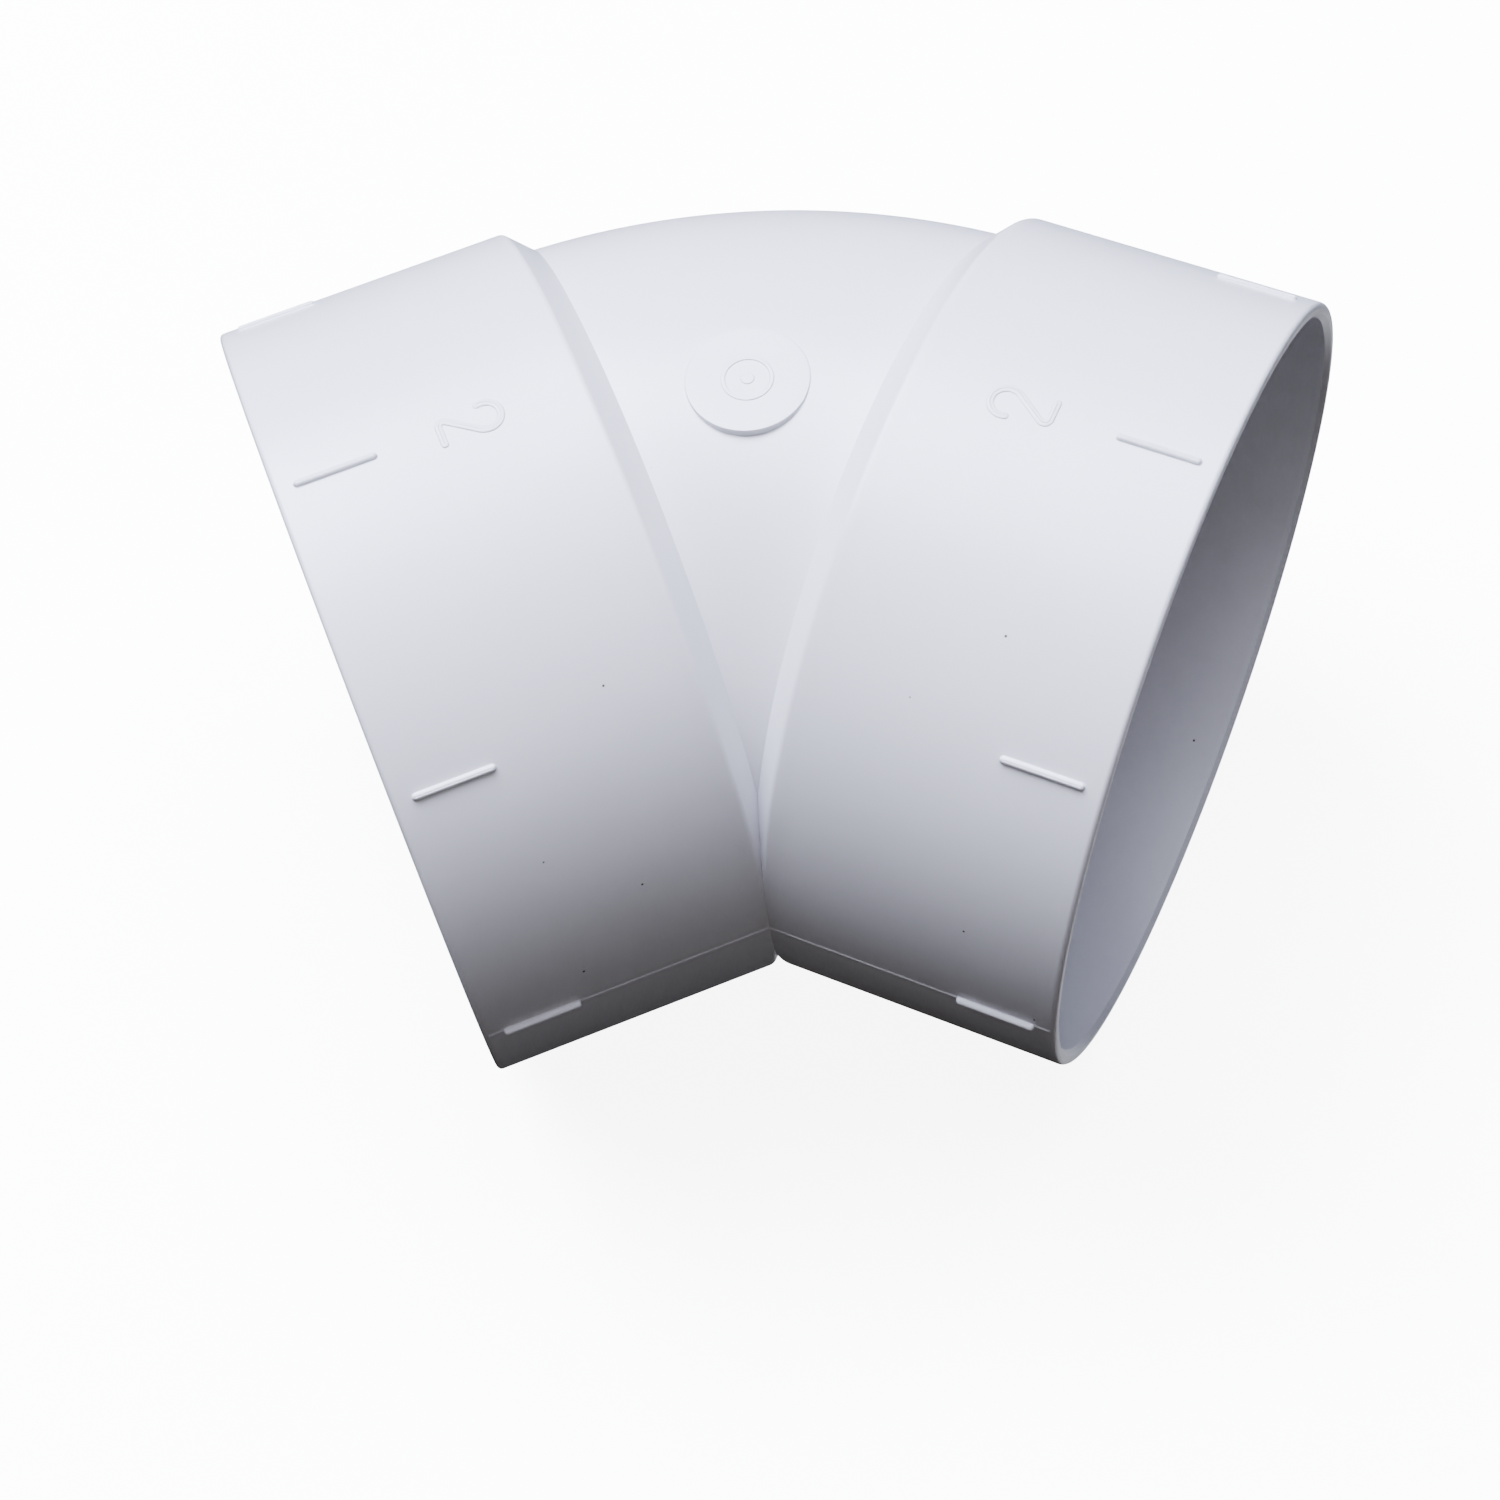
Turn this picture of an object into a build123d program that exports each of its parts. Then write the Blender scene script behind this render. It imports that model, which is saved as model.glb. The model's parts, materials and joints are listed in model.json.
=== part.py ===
from build123d import *
from math import asin, atan2, cos, degrees, hypot, radians, sin, sqrt, tan
import os

# Thin-wall PVC 45 degree elbow with a solvent-weld socket at each end, lying on its side.
# The real elbow is one moulding. Each feature of it is a solid of its own here, and the
# solids meet face to face: a bend body, a shoulder and a socket at each end, and the
# raised index bars, numerals, roundel and parting line that stand on their outsides.
#
# Frame: +Z up, the two socket axes in one level plane, the bend's outer side towards +Y,
# the left and right halves mirrored about X = 0. The origin is under the middle of the
# elbow's box, on the surface that the lowest index bars stand on.

# ---------------------------------------------------------------- driving dimensions, mm
bend_angle = 45.0  # turn between the two socket axes, degrees
bend_radius = 49.1  # of the bend's centreline
centre_to_rim = 54.35  # along a socket axis, from where the two axes cross to the rim

socket_radius = 45.15  # bore that takes a 90 mm pipe
hub_radius = 47.0  # outside of a socket
passage_radius = 42.2  # bore through the bend
body_radius = 44.1  # outside of the bend between the shoulders

shoulder_edge = 19.7  # along a socket axis, where the shoulder reaches hub_radius
shoulder_depth = 4.0  # how far the 45 degree shoulder is carried down, into the bend body
shoulder_round = 1.0  # rounding of the shoulder's edge
rim_round = 0.65  # rounding of the rim's outer edge
lead_in = 0.6  # chamfer of the rim's inner edge

bar_count = 8  # index bars round each socket, one every 45 degrees
bar_length = 9.4
bar_width = 0.8
bar_height = 0.45
line_bar_height = 0.7  # of the bars on the parting line, at 0 and 180 degrees
bar_round = 0.3
bar_to_rim = 2.35  # from the bar's outer end to the rim

numeral_height = 6.9  # between the centrelines of its top and its foot
numeral_width = 3.5  # between the centrelines of its sides
numeral_stroke = 0.8
numeral_relief = 0.15
numeral_round = 0.08
numeral_corner = 0.6  # radius of the centreline at the foot
numeral_hook = 195.0  # where the top arc starts, degrees from the numeral's right
numeral_to_rim = 22.4  # from the numeral's middle to the rim

roundel_radius = 6.85
roundel_relief = 0.12  # the flat top above the highest line of the bend body
roundel_offset = 1.6  # of its centre from that line, towards the inner side of the bend
roundel_round = 0.09
ring_outer = 2.9
ring_inner = 2.45
dot_radius = 0.75
mark_relief = 0.1  # ring and dot above the roundel
mark_round = 0.05

flash_width = 0.4  # the line that the two halves of the mould leave
flash_height = 0.12

root = 1.5  # how deep a raised feature is drawn before the surface under it is cut away

# ---------------------------------------------------------------- derived places
half_bend = radians(bend_angle / 2)
stop_face = bend_radius * tan(half_bend)  # where the bend ends and a socket begins
axis_height = hub_radius + bar_height

# Farthest reach each way from the crossing of the axes: the crown of the bend with its
# parting line, and the rounded rims on the inner side.
crown_reach = bend_radius + body_radius + flash_height - bend_radius / cos(half_bend)
rim_reach = (
    (centre_to_rim - rim_round) * sin(half_bend)
    + (hub_radius - rim_round) * cos(half_bend)
    + rim_round
)
crossing = Vector(0, (rim_reach - crown_reach) / 2, axis_height)
bend_centre = crossing - Vector(0, bend_radius / cos(half_bend), 0)
bend_axis = Axis(bend_centre, (0, 0, 1))

up = Vector(0, 0, 1)
sides = {"left": -1, "right": 1}


# ---------------------------------------------------------------- planes and axes
def out_of_mouth(side):
    """Unit vector along a socket axis, out of its mouth; side is 1 right, -1 left."""
    return Vector(side * cos(half_bend), -sin(half_bend), 0)


def to_outer_side(side):
    """Unit vector across a socket axis, in the bend's plane, towards its outer side."""
    return Vector(side * sin(half_bend), cos(half_bend), 0)


def socket_axis(side):
    return Axis(crossing, out_of_mouth(side))


def section_plane(side):
    """Plane through a socket axis: local x runs out of the mouth and local y is up."""
    return Plane(crossing, x_dir=out_of_mouth(side), z_dir=out_of_mouth(side).cross(up))


def bend_section(turn):
    """Plane across the bend, turned right from X = 0; local x is outward and y is up."""
    spoke = Vector(sin(radians(turn)), cos(radians(turn)), 0)
    return Plane(bend_centre + spoke * bend_radius, x_dir=spoke, z_dir=spoke.cross(up))


def skin_plane(side, angle, distance):
    """Plane touching a socket's outside, local x out of the mouth; angle 90 is the top."""
    outward = to_outer_side(side) * cos(radians(angle)) + up * sin(radians(angle))
    place = crossing + out_of_mouth(side) * distance + outward * hub_radius
    return Plane(place, x_dir=out_of_mouth(side), z_dir=outward)


def top_face(shape, plane):
    """The face of a part that lies farthest along a plane's normal."""
    return shape.faces().sort_by(Axis(plane.origin, plane.z_dir))[-1]


# ---------------------------------------------------------------- tools for cutting
# The filled bend, carried past both ends, cuts the underside of what stands on the bend.
overrun = 8.0
with BuildPart() as bend_core:
    with BuildSketch(bend_section(bend_angle / 2 + overrun)):
        Circle(body_radius)
    revolve(axis=bend_axis, revolution_arc=bend_angle + 2 * overrun)


def hub_core(side):
    """The filled outside of a socket, which cuts the underside of what stands on it."""
    with BuildPart() as core:
        with BuildSketch(Plane(crossing, z_dir=out_of_mouth(side))):
            Circle(hub_radius)
        extrude(amount=centre_to_rim)
    return core.part


hub_cores = {name: hub_core(side) for name, side in sides.items()}


# ---------------------------------------------------------------- bend body
with BuildPart() as bend_body:
    with BuildSketch(bend_section(bend_angle / 2)):
        Circle(body_radius)
        Circle(passage_radius, mode=Mode.SUBTRACT)
    revolve(axis=bend_axis, revolution_arc=bend_angle)
bend_body.part.label = "bend_body"


# ---------------------------------------------------------------- sockets
def make_socket(side):
    """Straight thin tube from the pipe stop to the rim, with a rounded outer edge."""
    with BuildPart() as socket:
        with BuildSketch(section_plane(side)) as wall:
            with BuildLine():
                Polyline(
                    (stop_face, socket_radius),
                    (centre_to_rim - lead_in, socket_radius),
                    (centre_to_rim, socket_radius + lead_in),
                    (centre_to_rim, hub_radius),
                    (stop_face, hub_radius),
                    close=True,
                )
            make_face()
            rim_corner = wall.vertices().group_by(Axis.X)[-1].sort_by(Axis.Y)[-1]
            fillet(rim_corner, rim_round)
        revolve(axis=socket_axis(side))
    return socket.part


# ---------------------------------------------------------------- shoulders
def make_shoulder(side):
    """Collar that steps from the bend body up to the socket's outside at 45 degrees.

    Its face at the socket end is part of the stop that a pipe is pushed up to. The two
    shoulders meet at X = 0 on the inner side of the bend.
    """
    with BuildPart() as shoulder:
        with BuildSketch(section_plane(side)) as collar:
            with BuildLine():
                Polyline(
                    (stop_face, hub_radius),
                    (shoulder_edge, hub_radius),
                    (shoulder_edge - shoulder_depth, hub_radius - shoulder_depth),
                    (stop_face, hub_radius - shoulder_depth),
                    close=True,
                )
            make_face()
            edge_corner = collar.vertices().group_by(Axis.Y)[-1].sort_by(Axis.X)[0]
            fillet(edge_corner, shoulder_round)
        revolve(axis=socket_axis(side))
        add(bend_core.part, mode=Mode.SUBTRACT)
        split(bisect_by=Plane.YZ, keep=Keep.TOP if side > 0 else Keep.BOTTOM)
    return shoulder.part


# ---------------------------------------------------------------- index bars
bar_middle = centre_to_rim - bar_to_rim - bar_length / 2


def make_index_bar(name, angle):
    """Round-topped ridge along a socket, for turning the elbow to a mark on the pipe."""
    skin = skin_plane(sides[name], angle, bar_middle)
    height = line_bar_height if angle % 180 == 0 else bar_height
    with BuildPart() as index_bar:
        with BuildSketch(skin.offset(-root)):
            SlotOverall(bar_length, bar_width)
        extrude(amount=root + height)
        fillet(top_face(index_bar, skin).edges(), bar_round)
        add(hub_cores[name], mode=Mode.SUBTRACT)
    return index_bar.part


# ---------------------------------------------------------------- numerals
def numeral_line():
    """Centreline of a plain figure two: an arc, a slanting stroke and a foot."""
    radius = numeral_width / 2
    centre = Vector(0, numeral_height / 2 - radius)
    heel = Vector(-radius, -numeral_height / 2)
    toe = Vector(radius, -numeral_height / 2)
    # The slanting stroke leaves the heel and touches the arc on its right.
    reach = hypot(centre.X - heel.X, centre.Y - heel.Y)
    slant = atan2(centre.Y - heel.Y, centre.X - heel.X) - asin(radius / reach)
    stroke = sqrt(reach**2 - radius**2)
    touch = heel + Vector(cos(slant), sin(slant)) * stroke
    arc_end = degrees(slant) - 90
    with BuildLine() as figure:
        CenterArc(centre, radius, numeral_hook, arc_end - numeral_hook)
        FilletPolyline(touch, heel, toe, radius=numeral_corner)
    return figure.wires()[0]


def make_numeral(name):
    """Raised figure on top of a socket, read with its head towards the bend."""
    side = sides[name]
    skin = skin_plane(side, 90, centre_to_rim - numeral_to_rim)
    page = Plane(skin.origin, x_dir=to_outer_side(side) * side, z_dir=up)
    with BuildPart() as numeral:
        with BuildSketch(page.offset(-root)):
            SlotArc(numeral_line(), numeral_stroke)
        extrude(amount=root + numeral_relief)
        fillet(top_face(numeral, page).edges(), numeral_round)
        add(hub_cores[name], mode=Mode.SUBTRACT)
    return numeral.part


# ---------------------------------------------------------------- roundel
roundel_top = axis_height + body_radius + roundel_relief
roundel_y = bend_centre.Y + bend_radius - roundel_offset
roundel_plane = Plane((0, roundel_y, roundel_top))

with BuildPart() as roundel_disc:
    with BuildSketch(roundel_plane):
        Circle(roundel_radius)
    extrude(amount=-root)
    fillet(top_face(roundel_disc, roundel_plane).edges(), roundel_round)
    add(bend_core.part, mode=Mode.SUBTRACT)
roundel_disc.part.label = "roundel_disc"

with BuildPart() as roundel_ring:
    with BuildSketch(roundel_plane):
        Circle(ring_outer)
        Circle(ring_inner, mode=Mode.SUBTRACT)
    extrude(amount=mark_relief)
    fillet(top_face(roundel_ring, roundel_plane).edges(), mark_round)
roundel_ring.part.label = "roundel_ring"

with BuildPart() as roundel_dot:
    with BuildSketch(roundel_plane):
        Circle(dot_radius)
    extrude(amount=mark_relief)
    fillet(top_face(roundel_dot, roundel_plane).edges(), mark_round)
roundel_dot.part.label = "roundel_dot"


# ---------------------------------------------------------------- parting line
bar_inner_end = centre_to_rim - bar_to_rim - bar_length
bar_outer_end = centre_to_rim - bar_to_rim
flash_spans = [(stop_face, bar_inner_end), (bar_outer_end, centre_to_rim - rim_round)]


def make_hub_flash(name):
    """Fine ridge along the socket's inner and outer sides, broken by the index bars."""
    with BuildPart() as flash:
        for angle in (0, 180):
            for start, end in flash_spans:
                skin = skin_plane(sides[name], angle, (start + end) / 2)
                with BuildSketch(skin.offset(-root)):
                    Rectangle(end - start, flash_width)
                extrude(amount=root + flash_height)
        add(hub_cores[name], mode=Mode.SUBTRACT)
    return flash.part


shoulders = {name: make_shoulder(side) for name, side in sides.items()}

with BuildPart() as crown_flash:
    with BuildSketch(bend_section(bend_angle / 2)):
        with Locations((body_radius, 0)):
            Rectangle(2 * flash_height, flash_width)
    revolve(axis=bend_axis, revolution_arc=bend_angle)
    add(bend_core.part, mode=Mode.SUBTRACT)
    add(list(shoulders.values()), mode=Mode.SUBTRACT)
crown_flash.part.label = "parting_line_crown"


# ---------------------------------------------------------------- write one file a piece
pieces = [
    bend_body.part,
    roundel_disc.part,
    roundel_ring.part,
    roundel_dot.part,
    crown_flash.part,
]


def keep(part, label):
    part.label = label
    pieces.append(part)


for name, side in sides.items():
    keep(make_socket(side), f"socket_{name}")
    keep(shoulders[name], f"shoulder_{name}")
    keep(make_numeral(name), f"size_numeral_{name}")
    keep(make_hub_flash(name), f"parting_line_{name}")
    for step in range(bar_count):
        angle = step * 360 // bar_count
        keep(make_index_bar(name, angle), f"index_bar_{name}_{angle:03d}")

os.makedirs("parts", exist_ok=True)
for piece in pieces:
    export_step(piece, f"parts/{piece.label}.step")
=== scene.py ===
import json
from math import asin, atan2, cos, degrees, hypot, pi, radians, sin, tan

import bpy
import bmesh
import numpy as np
from mathutils import Matrix, Vector


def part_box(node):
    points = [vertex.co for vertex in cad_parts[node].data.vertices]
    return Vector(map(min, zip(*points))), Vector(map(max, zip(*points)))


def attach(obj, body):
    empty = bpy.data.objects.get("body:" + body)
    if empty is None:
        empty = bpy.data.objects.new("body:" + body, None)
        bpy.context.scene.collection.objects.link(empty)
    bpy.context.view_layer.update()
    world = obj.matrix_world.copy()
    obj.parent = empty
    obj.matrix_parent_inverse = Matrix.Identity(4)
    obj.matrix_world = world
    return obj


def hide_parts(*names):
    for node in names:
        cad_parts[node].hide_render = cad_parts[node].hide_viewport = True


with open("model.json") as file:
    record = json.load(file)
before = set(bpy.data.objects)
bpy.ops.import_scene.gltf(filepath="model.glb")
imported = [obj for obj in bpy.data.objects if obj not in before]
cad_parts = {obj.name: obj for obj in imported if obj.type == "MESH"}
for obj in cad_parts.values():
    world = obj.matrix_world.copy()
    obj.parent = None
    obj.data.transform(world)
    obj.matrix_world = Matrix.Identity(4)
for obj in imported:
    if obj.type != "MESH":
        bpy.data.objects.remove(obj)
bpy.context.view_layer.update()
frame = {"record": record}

# A glossy white PVC elbow on a pale studio floor. The CAD nodes are its collision and
# its dimensions; each visible piece below is a finer mesh of the same surface, with the
# moulded edges rounded, and stands for its CAD node. Lengths are in metres.

MM = 0.001
BODY = "root"
SIDES = {"left": -1, "right": 1}

# ---------------------------------------------------------------- moulded details
passage_radius = 42.2 * MM  # of the bore through the bend
lead_in = 0.6 * MM  # chamfer of the rim's inner edge, outside the straight bore
rim_round = 0.65 * MM
shoulder_edge = 19.0 * MM  # along a socket axis, where the cone ends; 19.7 in the CAD
shoulder_depth = 4.0 * MM
shoulder_round = 1.0 * MM
bar_length = 9.4 * MM
bar_width = 0.8 * MM
bar_height = 0.45 * MM
line_bar_height = 0.7 * MM  # of the bars on the parting line, at 0 and 180 degrees
bar_foot = 0.12 * MM  # round where a bar meets the skin
bar_to_rim = 2.35 * MM
numeral_height = 6.9 * MM
numeral_width = 3.5 * MM
numeral_stroke = 0.8 * MM
numeral_relief = 0.15 * MM
numeral_corner = 0.6 * MM
numeral_foot = 0.06 * MM
numeral_to_rim = 22.4 * MM
roundel_radius = 6.85 * MM
roundel_offset = 1.6 * MM  # from the bend's centreline towards its inner side
roundel_relief = 0.12 * MM
roundel_edge = 0.09 * MM
roundel_foot = 0.1 * MM
foot_climb = 0.8  # how high the roundel's foot starts, as a share of its width
ring_outer = 2.9 * MM
ring_inner = 2.45 * MM
dot_radius = 0.75 * MM
mark_relief = 0.1 * MM
mark_edge = 0.07 * MM
mark_foot = 0.05 * MM
flash_width = 0.4 * MM
flash_height = 0.118 * MM
flash_to_edge = 2.8 * MM  # along the bend, from the crown ridge's end to the shoulder's edge
sunk = 0.04 * MM  # how far the foot of a raised detail goes under the surface it stands on

# Half of the parting line's ridge from its foot to its top: shares of half its width and of
# its height.
RIDGE_HALF = ((1.6, 0), (1, 0.25), (0.45, 0.85))

# ---------------------------------------------------------------- sizes from the frame
mounts = {m["name"]: m for m in frame["record"]["mounts"]}
mouth = mounts["socket_right"]
half_bend = atan2(-mouth["axis"][1], mouth["axis"][0])
socket_radius = mouth["dims"]["r_mm"] * MM
socket_depth = mouth["dims"]["length_mm"] * MM


def box_height(node):
    """Height of a CAD node's box."""
    low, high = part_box(node)
    return high.z - low.z


hub_radius = box_height("socket_right") / 2
body_radius = box_height("bend_body") / 2
axis_height = mouth["pos_m"][2]
crossing = Vector((0, mouth["pos_m"][1] + mouth["pos_m"][0] * tan(half_bend), axis_height))
socket_middle = mouth["pos_m"][0] / cos(half_bend)
stop_face = socket_middle - socket_depth / 2
rim = socket_middle + socket_depth / 2 + lead_in
bend_radius = stop_face / tan(half_bend)
bend_centre = crossing - Vector((0, bend_radius / cos(half_bend), 0))

ROUND_STEPS = 320  # points round a socket or the bend
UP = Vector((0, 0, 1))


def out_of_mouth(side):
    """Unit vector along a socket axis, out of its mouth; side is 1 right, -1 left."""
    return Vector((side * cos(half_bend), -sin(half_bend), 0))


def to_outer_side(side):
    """Unit vector across a socket axis, level, towards the outer side of the bend."""
    return Vector((side * sin(half_bend), cos(half_bend), 0))


# ---------------------------------------------------------------- coordinates to points
def socket_points(side, along, radius, angle):
    """Points from socket coordinates: distance from the crossing, radius, angle round.

    Angle 0 is the outer side of the bend, 90 degrees the top. Arrays broadcast.
    """
    along, radius, angle = np.broadcast_arrays(along, radius, angle)
    axis = np.array(out_of_mouth(side))
    outer = np.array(to_outer_side(side))
    across = np.cos(angle)[..., None] * outer + np.sin(angle)[..., None] * np.array(UP)
    return np.array(crossing) + along[..., None] * axis + radius[..., None] * across


def bend_points(turn, radius, angle):
    """Points from bend coordinates: turn right from X = 0, tube radius, angle round."""
    turn, radius, angle = np.broadcast_arrays(turn, radius, angle)
    reach = bend_radius + radius * np.cos(angle)
    x = reach * np.sin(turn)
    y = bend_centre.y + reach * np.cos(turn)
    z = axis_height + radius * np.sin(angle)
    return np.stack([x, y, z], -1)


def depth_in_bend(points):
    """How far points lie outside the bend's skin; negative inside."""
    reach = np.hypot(points[..., 0], points[..., 1] - bend_centre.y) - bend_radius
    return np.hypot(reach, points[..., 2] - axis_height) - body_radius


def bisect(inside, low, high, rounds=40):
    """Where a test turns from true to false between two arrays of values."""
    low, high = np.array(low, float), np.array(high, float)
    for _ in range(rounds):
        middle = (low + high) / 2
        good = inside(middle)
        low = np.where(good, middle, low)
        high = np.where(good, high, middle)
    return low


# ---------------------------------------------------------------- meshes
def grid_faces(rows, columns, close_rows=False, close_columns=False):
    """Quads of a rows by columns grid of points, joined end to end where it is closed."""
    faces = []
    for r in range(rows if close_rows else rows - 1):
        for c in range(columns if close_columns else columns - 1):
            below, beside = (r + 1) % rows, (c + 1) % columns
            faces.append(
                (
                    r * columns + c,
                    r * columns + beside,
                    below * columns + beside,
                    below * columns + c,
                )
            )
    return faces


def add_piece(name, points, faces, nodes, sharp=35):
    """A finished piece: welded, facing outwards, smooth but for its sharp edges."""
    mesh = bpy.data.meshes.new(name)
    mesh.from_pydata(np.asarray(points).reshape(-1, 3).tolist(), [], faces)
    shape = bmesh.new()
    shape.from_mesh(mesh)
    bmesh.ops.remove_doubles(shape, verts=shape.verts, dist=1e-6)
    bmesh.ops.dissolve_degenerate(shape, edges=shape.edges, dist=1e-7)
    bmesh.ops.recalc_face_normals(shape, faces=shape.faces)
    shape.to_mesh(mesh)
    shape.free()
    mesh.shade_smooth()
    mesh.set_sharp_from_angle(angle=radians(sharp))
    piece = bpy.data.objects.new(name, mesh)
    bpy.context.scene.collection.objects.link(piece)
    mesh.materials.append(pvc)
    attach(piece, BODY)
    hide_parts(*nodes)


def arc_points(centre, radius, start, end, steps):
    """Points on an arc in the plane of a profile, angles in degrees."""
    turn = np.radians(np.linspace(start, end, steps))
    return [(centre[0] + radius * cos(t), centre[1] + radius * sin(t)) for t in turn]


def line_points(start, end, steps):
    """Points along a line in the plane of a profile, without its last one."""
    share = np.linspace(0, 1, steps, endpoint=False)[:, None]
    return [tuple(p) for p in np.array(start) * (1 - share) + np.array(end) * share]


# ---------------------------------------------------------------- material
def make_pvc():
    """Glossy white PVC: faint mottling, sparse dark specks, and a slightly wavy skin."""
    material = bpy.data.materials.new("white_pvc")
    material.use_nodes = True
    nodes, links = material.node_tree.nodes, material.node_tree.links
    shader = nodes["Principled BSDF"]
    place = nodes.new("ShaderNodeTexCoord")

    def noise(scale, detail):
        node = nodes.new("ShaderNodeTexNoise")
        node.inputs["Scale"].default_value = scale
        node.inputs["Detail"].default_value = detail
        links.new(place.outputs["Object"], node.inputs["Vector"])
        return node.outputs["Fac"]

    def spread(value, low, high, to_low, to_high):
        node = nodes.new("ShaderNodeMapRange")
        node.inputs["From Min"].default_value = low
        node.inputs["From Max"].default_value = high
        node.inputs["To Min"].default_value = to_low
        node.inputs["To Max"].default_value = to_high
        links.new(value, node.inputs["Value"])
        return node.outputs["Result"]

    def mix(share, first, second):
        node = nodes.new("ShaderNodeMix")
        node.data_type = "RGBA"
        links.new(share, node.inputs["Factor"])
        for socket, value in (("A", first), ("B", second)):
            target = [i for i in node.inputs if i.name == socket and i.type == "RGBA"][0]
            if isinstance(value, tuple):
                target.default_value = (*value, 1)
            else:
                links.new(value, target)
        return [o for o in node.outputs if o.type == "RGBA"][0]

    # Colour: two near whites drift into each other over the moulding.
    dim_white, bright_white = (0.790, 0.796, 0.852), (0.812, 0.816, 0.868)
    burnt_resin = (0.12, 0.11, 0.10)
    cloud = spread(noise(28, 3), 0.3, 0.7, 0, 1)
    white = mix(cloud, dim_white, bright_white)

    # Specks: a rare cell holds a small dark grain of burnt resin.
    cells = nodes.new("ShaderNodeTexVoronoi")
    cells.inputs["Scale"].default_value = 400
    links.new(place.outputs["Object"], cells.inputs["Vector"])
    chance = nodes.new("ShaderNodeSeparateColor")
    links.new(cells.outputs["Color"], chance.inputs["Color"])
    rare = spread(chance.outputs["Red"], 0.90, 0.91, 0, 1)
    near = spread(cells.outputs["Distance"], 0.04, 0.075, 1, 0)
    speck = nodes.new("ShaderNodeMath")
    speck.operation = "MULTIPLY"
    links.new(rare, speck.inputs[0])
    links.new(near, speck.inputs[1])
    links.new(mix(speck.outputs[0], white, burnt_resin), shader.inputs["Base Color"])

    # Gloss: a polished mould with faintly duller patches.
    links.new(spread(noise(45, 4), 0.35, 0.65, 0.28, 0.36), shader.inputs["Roughness"])
    shader.inputs["IOR"].default_value = 1.53
    shader.inputs["Subsurface Weight"].default_value = 0.06
    shader.inputs["Subsurface Radius"].default_value = (2 * MM, 2 * MM, 2 * MM)
    shader.inputs["Subsurface Scale"].default_value = 1.0

    # Skin: long shallow waves from cooling, and a very fine grain on top of them.
    waves = nodes.new("ShaderNodeBump")
    waves.inputs["Strength"].default_value = 0.35
    waves.inputs["Distance"].default_value = 0.0002
    links.new(noise(60, 2), waves.inputs["Height"])
    grain = nodes.new("ShaderNodeBump")
    grain.inputs["Strength"].default_value = 0.12
    grain.inputs["Distance"].default_value = 0.00002
    links.new(noise(1400, 2), grain.inputs["Height"])
    links.new(waves.outputs["Normal"], grain.inputs["Normal"])
    links.new(grain.outputs["Normal"], shader.inputs["Normal"])
    return material


pvc = make_pvc()


# ---------------------------------------------------------------- sockets
def make_socket(name, side):
    """Thin tube from the pipe stop to the rounded rim, bore and outside in one skin."""
    corner = (rim - rim_round, hub_radius - rim_round)
    chamfer_start = (rim - lead_in, socket_radius)
    chamfer_end = (rim, socket_radius + lead_in)
    profile = [
        *line_points((stop_face, socket_radius), chamfer_start, 30),
        chamfer_start,
        *line_points(chamfer_start, chamfer_end, 4)[1:],
        *line_points(chamfer_end, (rim, corner[1]), 4),
        *arc_points(corner, rim_round, 0, 90, 12),
        *line_points((rim - rim_round * 1.5, hub_radius), (stop_face, hub_radius), 30),
        (stop_face, hub_radius),
    ]
    along, radius = np.array(profile).T
    angle = np.linspace(0, 2 * pi, ROUND_STEPS, endpoint=False)
    points = socket_points(side, along[:, None], radius[:, None], angle[None, :])
    faces = grid_faces(len(profile), ROUND_STEPS, close_rows=True, close_columns=True)
    add_piece(f"{name}_socket_tube", points, faces, [f"socket_{name}"])


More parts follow.
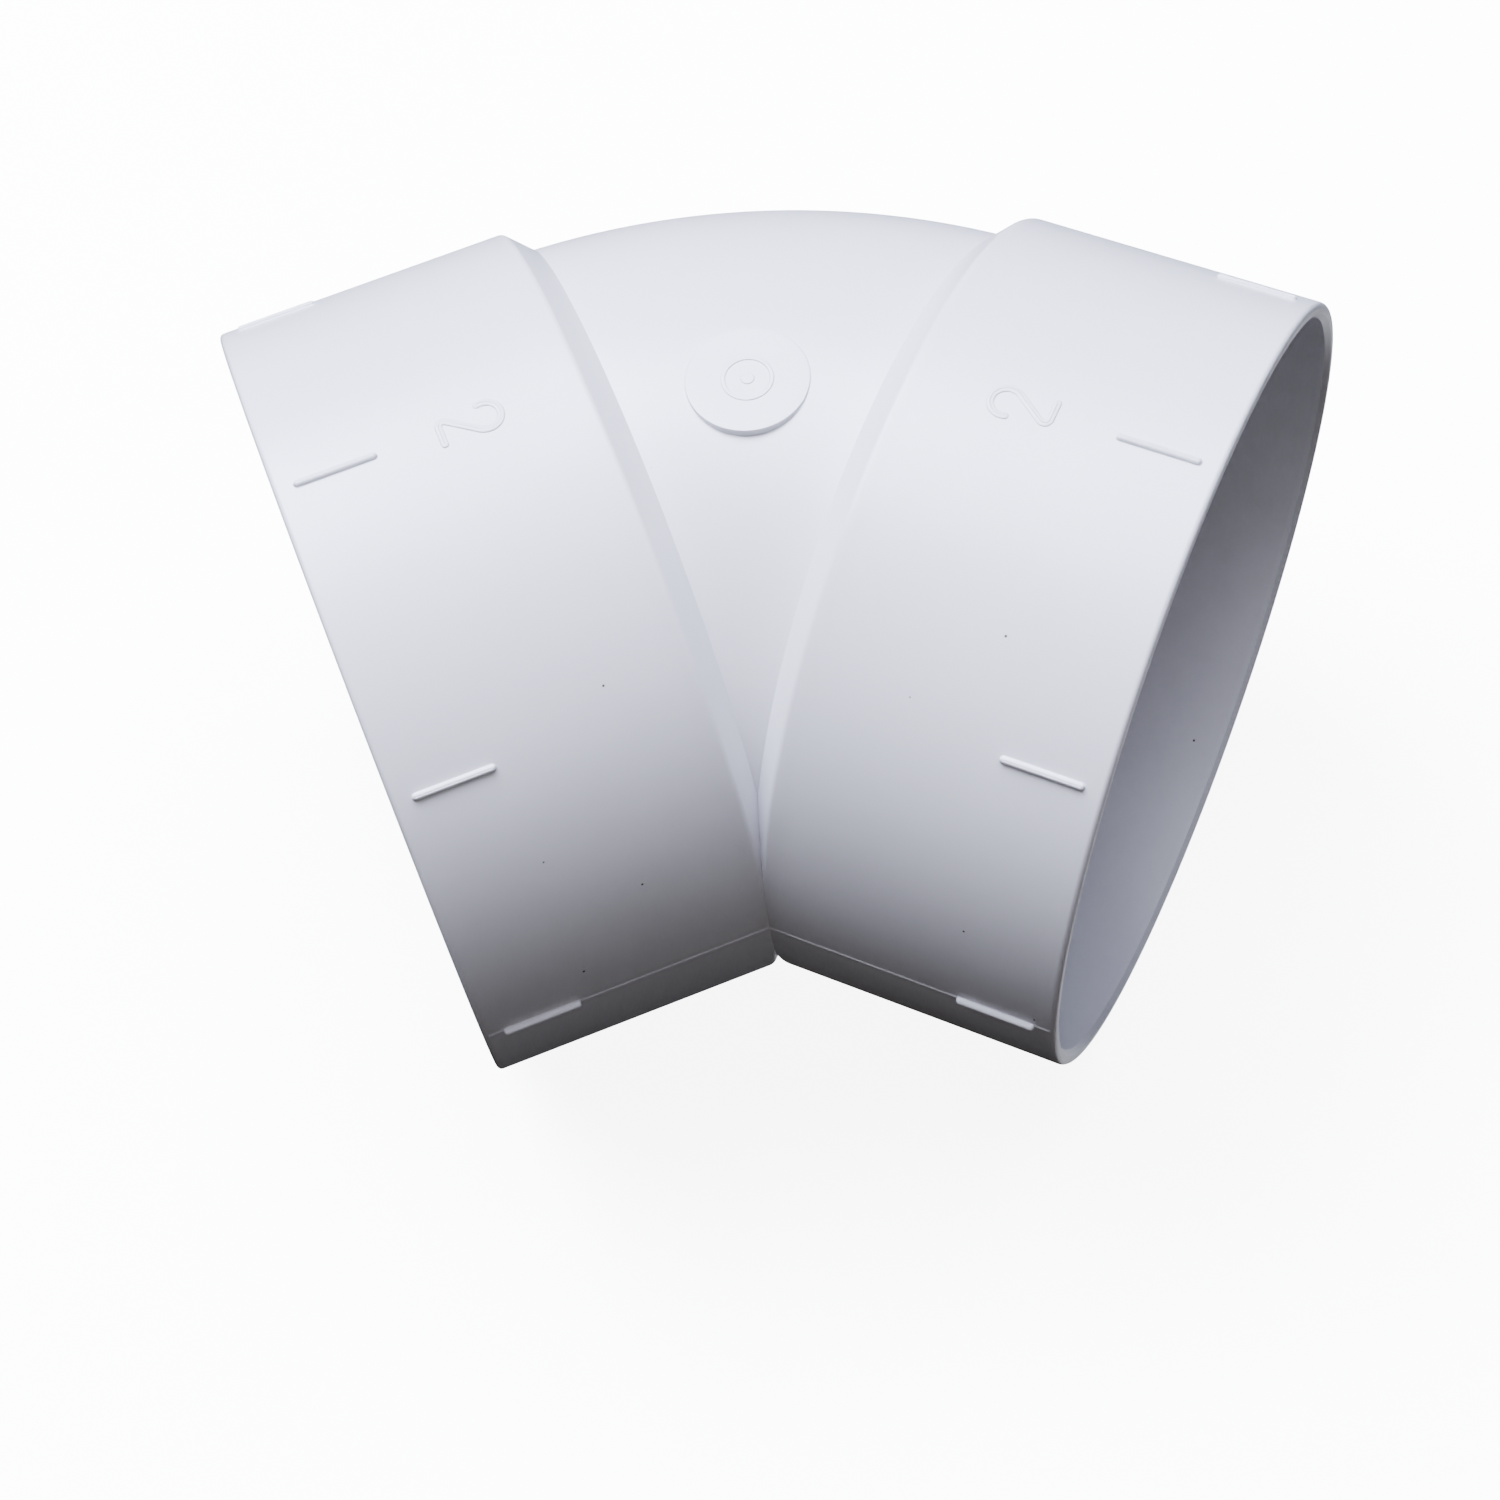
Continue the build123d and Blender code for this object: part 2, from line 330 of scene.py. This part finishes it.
# ---------------------------------------------------------------- shoulders
def make_shoulder(name, side):
    """Cone at 45 degrees from the bend's skin to the socket's outside, cut off at X = 0."""
    tangent = shoulder_round * tan(radians(45 / 2))  # the corner turns 45 degrees
    centre = (shoulder_edge + tangent, hub_radius - shoulder_round)
    rounded = [(stop_face, hub_radius), *arc_points(centre, shoulder_round, 90, 135, 9)]
    along = np.array([p[0] for p in rounded])
    radius = np.array([p[1] for p in rounded])
    angle = np.linspace(0, 2 * pi, ROUND_STEPS, endpoint=False)

    def mirrored_points(s, r):
        """The right side's points, in which the cut at X = 0 is the same for both."""
        return socket_points(1, s, r, angle)

    def this_side(s, r):
        """Distances along the axis, kept from crossing X = 0 into the other shoulder."""
        return np.maximum(s, -r * tan(half_bend) * np.cos(angle))

    # Down the cone until it meets the bend, or the other shoulder at X = 0.
    def on_cone(drop):
        points = mirrored_points(along[-1] - drop, radius[-1] - drop)
        return (points[..., 0] > 0) & (depth_in_bend(points) > 0)

    drop = bisect(on_cone, np.zeros(ROUND_STEPS), np.full(ROUND_STEPS, shoulder_depth))
    toe_along, toe_radius = along[-1] - drop, radius[-1] - drop

    # Where X = 0 cut the cone, down that cut to the bend; elsewhere the toe is there.
    def on_cut(share):
        r = toe_radius - share * shoulder_depth
        s = this_side(toe_along - share * shoulder_depth, r)
        return depth_in_bend(mirrored_points(s, r)) > 0

    share = bisect(on_cut, np.zeros(ROUND_STEPS), np.ones(ROUND_STEPS))
    root_radius = toe_radius - share * shoulder_depth
    root_along = this_side(toe_along - share * shoulder_depth, root_radius)

    # Back to the pipe stop on the bend's skin.
    rows = [socket_points(side, this_side(s, r), r, angle) for s, r in zip(along, radius)]
    for step in np.linspace(0, 1, 9)[1:]:
        s = along[-1] + (toe_along - along[-1]) * step
        r = radius[-1] + (toe_radius - radius[-1]) * step
        rows.append(socket_points(side, this_side(s, r), r, angle))
    rows.append(socket_points(side, root_along, root_radius, angle))
    for step in (0.25, 0.5, 0.75):
        s = root_along + (stop_face - root_along) * step
        r = bisect(
            lambda value: depth_in_bend(mirrored_points(s, value)) < 0,
            np.full(ROUND_STEPS, passage_radius),
            np.full(ROUND_STEPS, hub_radius),
        )
        rows.append(socket_points(side, s, r, angle))
    rows.append(socket_points(side, stop_face, body_radius, angle))
    faces = grid_faces(len(rows), ROUND_STEPS, close_rows=True, close_columns=True)
    add_piece(f"{name}_shoulder_collar", np.array(rows), faces, [f"shoulder_{name}"], sharp=20)


# ---------------------------------------------------------------- bend body
def make_bend():
    """Curved tube between the sockets: skin, passage and the two end faces."""
    turns = np.linspace(-half_bend, half_bend, 97)
    angle = np.linspace(0, 2 * pi, ROUND_STEPS, endpoint=False)
    skin = bend_points(turns[:, None], body_radius, angle[None, :])
    passage = bend_points(turns[::-1, None], passage_radius, angle[None, :])
    points = np.concatenate([skin, passage])
    faces = grid_faces(len(points), ROUND_STEPS, close_rows=True, close_columns=True)
    add_piece("bend_body_tube", points, faces, ["bend_body"])


# ---------------------------------------------------------------- raised strokes
def stroke_loop(line, offset, cap_steps=10):
    """The closed outline at a distance from an open line of (u, v) points."""
    line = np.asarray(line, float)
    along = np.gradient(line, axis=0)
    along /= np.linalg.norm(along, axis=1)[:, None]
    across = np.stack([-along[:, 1], along[:, 0]], 1)
    turn = np.linspace(0, pi, cap_steps + 2)[1:-1, None]
    end_cap = line[-1] + offset * (np.cos(turn) * across[-1] + np.sin(turn) * along[-1])
    start_cap = line[0] - offset * (np.cos(turn) * across[0] + np.sin(turn) * along[0])
    left, right = line + across * offset, (line - across * offset)[::-1]
    return np.concatenate([left, end_cap, right, start_cap])


def stroke_section(half_width, height, foot):
    """(distance from the line, height) from the buried foot to the top of a stroke."""
    section = [(half_width + foot, -sunk)]
    for turn in np.linspace(0, pi / 2, 5):
        section.append((half_width + foot * (1 - sin(turn)), foot * (1 - cos(turn))))
    crown_width, crown_height = half_width * 0.9, height - foot
    for turn in np.linspace(0, pi / 2, 9):
        from_line = half_width - crown_width * (1 - cos(turn))
        section.append((from_line, height - crown_height * (1 - sin(turn))))
    section.append((0, height))
    return section


def make_stroke(name, line, half_width, height, foot, to_points, nodes):
    """A raised round-topped stroke along a line of (u, v) points on a surface."""
    rows = []
    for offset, level in stroke_section(half_width, height, foot):
        loop = stroke_loop(line, max(offset, 0))
        rows.append(to_points(loop[:, 0], loop[:, 1], np.full(len(loop), level)))
    buried = stroke_loop(line, 0)
    rows.append(to_points(buried[:, 0], buried[:, 1], np.full(len(buried), -sunk)))
    faces = grid_faces(len(rows), len(buried), close_rows=True, close_columns=True)
    add_piece(name, np.array(rows), faces, nodes, sharp=60)


def on_hub(side, angle, middle, turned=False):
    """Maps (u, v, level) on a socket's skin to points: u out of the mouth, v round it."""

    def to_points(u, v, level):
        return socket_points(side, middle + u, hub_radius + level, angle + v / hub_radius)

    def to_points_turned(u, v, level):
        # A figure's right is across the socket and its head is towards the bend.
        return to_points(-v, -u * side, level)

    return to_points_turned if turned else to_points


# ---------------------------------------------------------------- index bars
def make_index_bars(name, side):
    """Eight bars round a socket, one every 45 degrees."""
    middle = rim - bar_to_rim - bar_length / 2
    half_line = (bar_length - bar_width) / 2
    line = [(u, 0) for u in np.linspace(-half_line, half_line, 24)]
    for degrees_round in range(0, 360, 45):
        to_points = on_hub(side, radians(degrees_round), middle)
        height = line_bar_height if degrees_round % 180 == 0 else bar_height
        make_stroke(
            f"{name}_bar_{degrees_round:03d}",
            line,
            bar_width / 2,
            height,
            bar_foot,
            to_points,
            [f"index_bar_{name}_{degrees_round:03d}"],
        )


# ---------------------------------------------------------------- numerals
def numeral_line():
    """Centreline of a plain figure two: an arc, a slanting stroke and a foot."""
    radius = numeral_width / 2
    centre = (0, numeral_height / 2 - radius)
    heel = (-radius, -numeral_height / 2)
    toe = (radius, -numeral_height / 2)
    reach = hypot(centre[0] - heel[0], centre[1] - heel[1])
    slant = atan2(centre[1] - heel[1], centre[0] - heel[0]) - asin(radius / reach)
    line = arc_points(centre, radius, 195, degrees(slant) - 90, 28)
    # The heel is rounded between the slanting stroke and the foot.
    trim = numeral_corner / tan(slant / 2)
    bend = (heel[0] + trim, heel[1] + numeral_corner)
    leave = (heel[0] + trim * cos(slant), heel[1] + trim * sin(slant))
    line += line_points(line[-1], leave, 14)[1:]
    line += arc_points(bend, numeral_corner, degrees(slant) + 90, 270, 14)
    line += line_points((heel[0] + trim, heel[1]), toe, 8)[1:] + [toe]
    return line


def make_numeral(name, side):
    """The raised figure on top of a socket."""
    to_points = on_hub(side, pi / 2, rim - numeral_to_rim, turned=True)
    make_stroke(
        f"{name}_numeral",
        numeral_line(),
        numeral_stroke / 2,
        numeral_relief,
        numeral_foot,
        to_points,
        [f"size_numeral_{name}"],
    )


# ---------------------------------------------------------------- roundel
roundel_y = bend_centre.y + bend_radius - roundel_offset
roundel_top = axis_height + body_radius + roundel_relief


def skin_height(x, y):
    """Height of the bend's skin over a point of the floor plan."""
    reach = np.hypot(x, y - bend_centre.y) - bend_radius
    return axis_height + np.sqrt(body_radius**2 - reach**2)


def make_roundel():
    """Flat-topped disc whose side comes down to the curved skin of the bend."""
    angle = np.linspace(0, 2 * pi, 160, endpoint=False)
    edge, foot = roundel_edge, roundel_foot
    rows = []

    def add_row(radius, height):
        x, y = radius * np.cos(angle), roundel_y + radius * np.sin(angle)
        rows.append(np.stack([x, y, height(x, y) + 0 * x], 1))

    for radius in np.linspace(0, roundel_radius - edge, 12):
        add_row(radius, lambda x, y: roundel_top)
    for turn in np.linspace(0, pi / 2, 7)[1:]:
        fall = edge * (1 - cos(turn))
        add_row(roundel_radius - edge + edge * sin(turn), lambda x, y: roundel_top - fall)
    for turn in np.linspace(0, pi / 2, 5):
        rise = foot * (1 - sin(turn)) * foot_climb
        add_row(
            roundel_radius + foot * (1 - cos(turn)),
            lambda x, y: np.minimum(skin_height(x, y) + rise, roundel_top - edge),
        )
    add_row(roundel_radius + foot, lambda x, y: skin_height(x, y) - sunk)
    for radius in np.linspace(roundel_radius, 0, 8):
        add_row(radius, lambda x, y: skin_height(x, y) - sunk)
    faces = grid_faces(len(rows), len(angle), close_rows=True, close_columns=True)
    add_piece("roundel_plate", np.array(rows), faces, ["roundel_disc"])


def make_mark(name, inner, outer, node):
    """A low round-edged ring on the roundel, or a dot where its inner radius is 0."""
    edge, foot, top = mark_edge, mark_foot, mark_relief
    # The hollow round at the foot, as (distance from the mark, height), from its outside in.
    hollow = [(foot * (1 - sin(t)), foot * (1 - cos(t))) for t in (0.5, 1.1, 1.57)]
    section = [(outer + foot, -sunk), (outer + foot, 0)]
    section += [(outer + across, level) for across, level in hollow]
    section += arc_points((outer - edge, top - edge), edge, 0, 90, 6)
    if inner > 0:
        section += arc_points((inner + edge, top - edge), edge, 90, 180, 6)
        section += [(inner - across, level) for across, level in reversed(hollow)]
        section += [(inner - foot, 0), (inner - foot, -sunk)]
    else:
        section += [(outer / 2, top), (0, top), (0, -sunk)]
    radius, level = np.array(section).T
    angle = np.linspace(0, 2 * pi, 96, endpoint=False)
    x = radius[:, None] * np.cos(angle)
    y = roundel_y + radius[:, None] * np.sin(angle)
    z = roundel_top + level[:, None] + 0 * angle
    faces = grid_faces(len(section), len(angle), close_rows=True, close_columns=True)
    add_piece(name, np.stack([x, y, z], -1), faces, [node])


# ---------------------------------------------------------------- parting line
def ridge_section():
    """(across, level) of the fine ridge that the mould's two halves leave."""
    half = flash_width / 2
    rise = [(half * across, flash_height * level) for across, level in RIDGE_HALF]
    right_side = [(rise[0][0], -sunk), *rise]
    left_side = [(-across, level) for across, level in right_side]
    return [*left_side, (0, flash_height), *reversed(right_side)]


def make_ridge(name, runs, nodes):
    """Ridges of one or more runs; a run is a list of functions from (across, level) to points."""
    section = np.array(ridge_section())
    points, faces = [], []
    for run in runs:
        rows = np.array([station(section[:, 0], section[:, 1]) for station in run])
        first = sum(len(p) for p in points)
        count, width = len(run), len(section)
        faces += [tuple(first + i for i in f) for f in grid_faces(count, width, False, True)]
        faces.append(tuple(first + i for i in range(width)))
        faces.append(tuple(first + (count - 1) * width + i for i in reversed(range(width))))
        points.append(rows.reshape(-1, 3))
    add_piece(name, np.concatenate(points), faces, nodes, sharp=60)


def make_hub_ridges(name, side):
    """The ridge along a socket's inner and outer sides, broken by the index bars."""
    bar_outer_end = rim - bar_to_rim
    spans = [
        (shoulder_edge + shoulder_round / 2, bar_outer_end - bar_length),
        (bar_outer_end, rim - rim_round),
    ]
    runs = []
    for angle in (0, pi):
        for start, end in spans:
            run = []
            for along in np.linspace(start, end, 24):
                def station(across, level, along=along, angle=angle):
                    turned = angle + across / hub_radius
                    return socket_points(side, along, hub_radius + level, turned)
                run.append(station)
            runs.append(run)
    make_ridge(f"{name}_parting_ridge", runs, [f"parting_line_{name}"])


def make_crown_ridge():
    """The ridge along the outer side of the bend, between the shoulders."""
    run = []
    outer_reach = bend_radius + body_radius
    toe_turn = half_bend - (stop_face - shoulder_edge + flash_to_edge) / outer_reach
    for turn in np.linspace(-toe_turn, toe_turn, 64):
        def station(across, level, turn=turn):
            return bend_points(turn, body_radius + level, across / body_radius)
        run.append(station)
    make_ridge("crown_parting_ridge", [run], ["parting_line_crown"])


# ---------------------------------------------------------------- put the elbow together
make_bend()
make_roundel()
make_mark("roundel_plain_ring", ring_inner, ring_outer, "roundel_ring")
make_mark("roundel_plain_dot", 0, dot_radius, "roundel_dot")
make_crown_ridge()
for side_name, side_sign in SIDES.items():
    make_socket(side_name, side_sign)
    make_shoulder(side_name, side_sign)
    make_index_bars(side_name, side_sign)
    make_numeral(side_name, side_sign)
    make_hub_ridges(side_name, side_sign)


# ---------------------------------------------------------------- floor
MIDDLE_RADIUS = 0.02  # of the face in the middle of the floor
FIRST_RING = 0.2
FLOOR_RADIUS = 2.4
CURVE_RADIUS = 1.6  # of the curve from the floor up to the wall
WALL_TOP = 3.0
DOME_TOP = 4.0


def make_floor():
    """Plain pale studio sweep: a level floor that curves up into a dome far away.

    Only the camera sees it. It glows, but it sends no light to the elbow, so its white does
    not flood the elbow's underside. It casts no shadow, and shows a faint one.
    """
    profile = [(MIDDLE_RADIUS, 0), *line_points((FIRST_RING, 0), (FLOOR_RADIUS, 0), 8)]
    profile += arc_points((FLOOR_RADIUS, CURVE_RADIUS), CURVE_RADIUS, -90, 0, 12)
    profile += [(FLOOR_RADIUS + CURVE_RADIUS, WALL_TOP), (MIDDLE_RADIUS, DOME_TOP)]
    radius, height = np.array(profile).T
    angle = np.linspace(0, 2 * pi, 64, endpoint=False)
    x, y = radius[:, None] * np.cos(angle), radius[:, None] * np.sin(angle)
    points = np.stack([x, y, height[:, None] + 0 * angle], -1).reshape(-1, 3)
    faces = grid_faces(len(profile), len(angle), close_columns=True)
    faces.append(tuple(range(len(angle))))
    mesh = bpy.data.meshes.new("studio_floor")
    mesh.from_pydata(points.tolist(), [], faces)
    mesh.shade_smooth()
    floor = bpy.data.objects.new("studio_floor", mesh)
    bpy.context.scene.collection.objects.link(floor)
    floor.visible_diffuse = False
    floor.visible_glossy = False
    floor.visible_transmission = False
    floor.visible_shadow = False
    paint = bpy.data.materials.new("pale_floor")
    paint.use_nodes = True
    shader = paint.node_tree.nodes["Principled BSDF"]
    shader.inputs["Base Color"].default_value = (0.9, 0.9, 0.9, 1)
    shader.inputs["Roughness"].default_value = 1.0
    shader.inputs["Specular IOR Level"].default_value = 0.0
    shader.inputs["Emission Color"].default_value = (1, 1, 1, 1)
    shader.inputs["Emission Strength"].default_value = 2.5
    mesh.materials.append(paint)


make_floor()


# ---------------------------------------------------------------- light
PANEL_DISTANCE = 1.2
WARM_WHITE = (1, 0.95, 0.93)


def add_area(name, azimuth, elevation, size, power, colour):
    """A soft panel facing the elbow. Azimuth is 0 on the camera's side, 180 at the back."""
    lamp = bpy.data.lights.new(name, "AREA")
    lamp.shape = "RECTANGLE"
    lamp.size, lamp.size_y = size
    lamp.energy = power
    lamp.color = colour
    light = bpy.data.objects.new(name, lamp)
    a, e = radians(azimuth), radians(elevation)
    aim = Vector((sin(a) * cos(e), -cos(a) * cos(e), sin(e)))
    light.location = Vector((0, 0, axis_height)) + aim * PANEL_DISTANCE
    light.rotation_mode = "QUATERNION"
    light.rotation_quaternion = aim.to_track_quat("Z", "Y")
    bpy.context.scene.collection.objects.link(light)


def make_lights():
    """Two big cool panels from above and behind, two weak warm ones from the front.

    The last panel is under the floor, which does not block it. It stands in for the light
    that a table would throw up.
    """
    add_area("key_panel", 180, 70, (1.4, 1.1), 19.5, (0.84, 0.86, 1))
    add_area("left_panel", 225, 60, (1.0, 0.8), 18.5, (0.84, 0.87, 1))
    add_area("front_fill", 0, 30, (0.8, 0.5), 1.9, WARM_WHITE)
    add_area("right_fill", 45, 35, (0.8, 0.5), 0.5, WARM_WHITE)
    add_area("table_bounce", 125, -62, (0.8, 0.8), 1.8, (0.9, 0.92, 1))


def make_world():
    """A faint even white round the scene, and a film-like curve from light to picture."""
    world = bpy.data.worlds.new("studio")
    world.use_nodes = True
    background = world.node_tree.nodes["Background"]
    background.inputs["Color"].default_value = (1, 1, 1, 1)
    background.inputs["Strength"].default_value = 0.018
    scene = bpy.context.scene
    scene.world = world
    scene.view_settings.view_transform = "AgX"
    scene.view_settings.look = "AgX - High Contrast"


make_lights()
make_world()


# ---------------------------------------------------------------- camera
CAMERA_TURN = radians(10.2995)  # to the right of straight in front
CAMERA_HEIGHT = radians(61.5265)  # angle above level
CAMERA_ROLL = radians(-10.0246)
CAMERA_DISTANCE = 7.6891 * hub_radius
CAMERA_LEFT = 0.0752 * hub_radius
CAMERA_DOWN = 0.5226 * hub_radius
SENSOR_WIDTH = 36  # in millimetres, as is the lens
LENS = 70.738


def make_camera():
    """The photo's view of the elbow, from above the inner side of the bend."""
    back = Vector(
        (
            sin(CAMERA_TURN) * cos(CAMERA_HEIGHT),
            -cos(CAMERA_TURN) * cos(CAMERA_HEIGHT),
            sin(CAMERA_HEIGHT),
        )
    )
    level = UP.cross(back).normalized()
    rise = back.cross(level)
    right = level * cos(CAMERA_ROLL) + rise * sin(CAMERA_ROLL)
    top = rise * cos(CAMERA_ROLL) - level * sin(CAMERA_ROLL)
    data = bpy.data.cameras.new("camera")
    data.sensor_width = SENSOR_WIDTH
    data.lens = LENS
    data.clip_start = 0.02
    camera = bpy.data.objects.new("camera", data)
    camera.matrix_world = Matrix((right, top, back)).transposed().to_4x4()
    camera.location = crossing + back * CAMERA_DISTANCE - right * CAMERA_LEFT - top * CAMERA_DOWN
    bpy.context.scene.collection.objects.link(camera)
    bpy.context.scene.camera = camera


make_camera()
